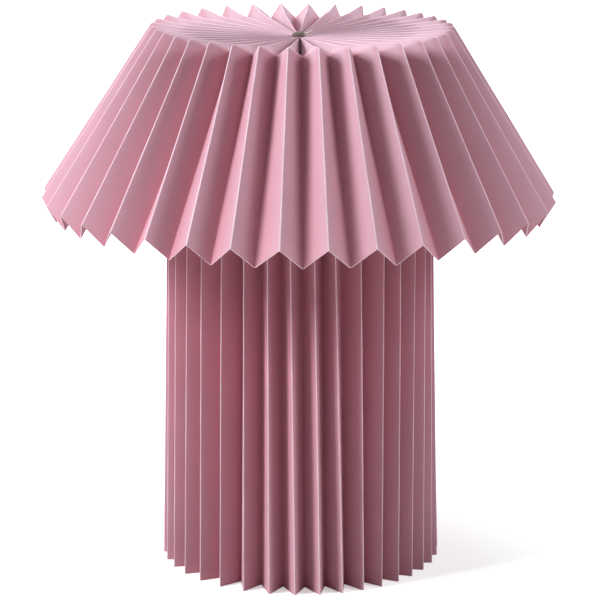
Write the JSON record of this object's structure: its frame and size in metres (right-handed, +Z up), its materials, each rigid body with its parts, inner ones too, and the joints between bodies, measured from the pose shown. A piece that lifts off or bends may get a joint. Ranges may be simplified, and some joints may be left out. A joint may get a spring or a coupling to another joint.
{
  "type": "pleated paper table lamp",
  "caption": "Table lamp with a flared pleated paper shade that lifts off, over an upright pleated paper column on a weighted base.",
  "frame": {"origin": "centre of the underside, on the surface the lamp stands on", "axes": "+Z up along the column, the front towards -Y, the cord inlet towards +Y"},
  "size_m": [0.3296, 0.3293, 0.3479],
  "materials": {
    "paper": "matt dyed pleated paper, dusty pink",
    "cord_yarn": "twisted cotton cord, grey-brown",
    "felt": "pressed felt, black",
    "painted_steel": "powder coat, white, fine texture",
    "painted_tube": "powder coat, white",
    "white_wire": "powder-coated steel wire, white",
    "zinc_steel": "zinc plated",
    "holder_plastic": "moulded thermoplastic, white",
    "core_resin": "moulded insulator, cream",
    "black_nylon": "moulded nylon, black",
    "brass": "stamped spring brass",
    "solder": "solder button",
    "black_glass": "vitreous insulator, black",
    "nickel_brass": "nickel plated, drawn",
    "bulb_plastic": "moulded, white satin",
    "led_board": "white lacquered board",
    "opal_globe": "opal diffuser, satin"
  },
  "bodies": {
    "stand": {"base_felt": "felt", "base_plate": "painted_steel", "cord_inlet": "black_nylon", "base_washer": "zinc_steel", "base_nut": "zinc_steel", "threaded_tube": "zinc_steel", "stem_tube": "painted_tube", "column_spider": "white_wire", "lock_washer": "zinc_steel", "lock_nut": "zinc_steel", "holder_cap": "holder_plastic", "lock_screw": "zinc_steel", "holder_shell": "holder_plastic", "holder_core": "core_resin", "centre_contact": "brass", "side_contacts": "brass", "terminal_screws": "brass", "shade_carrier": "white_wire", "shade_ring": "holder_plastic", "column_paper": "paper"},
    "bulb_thread": {"bulb_contact": "solder"},
    "bulb": {"bulb_insulator": "black_glass", "bulb_cap": "nickel_brass", "bulb_housing": "bulb_plastic", "bulb_led_board": "led_board", "bulb_globe": "opal_globe"},
    "shade": {"shade_paper": "paper", "gather_cord": "cord_yarn"}
  },
  "joints": [
    {"name": "bulb_advance", "type": "slide", "parent": "stand", "child": "bulb_thread", "axis": [0, 0, 1], "range_m": [0, 0.01089]},
    {"name": "bulb_turn", "type": "hinge", "parent": "bulb_thread", "child": "bulb", "pos_m": [0, 0, 0.2], "axis": [0, 0, 1], "range_deg": [0, 1080]},
    {"name": "shade_lift", "type": "slide", "parent": "stand", "child": "shade", "axis": [0, 0, 1], "range_m": [0, 0.13]}
  ],
  "couplings": [
    {"joint": "bulb_advance", "follows": "bulb_turn", "m_per_rad": 0.00057757}
  ]
}
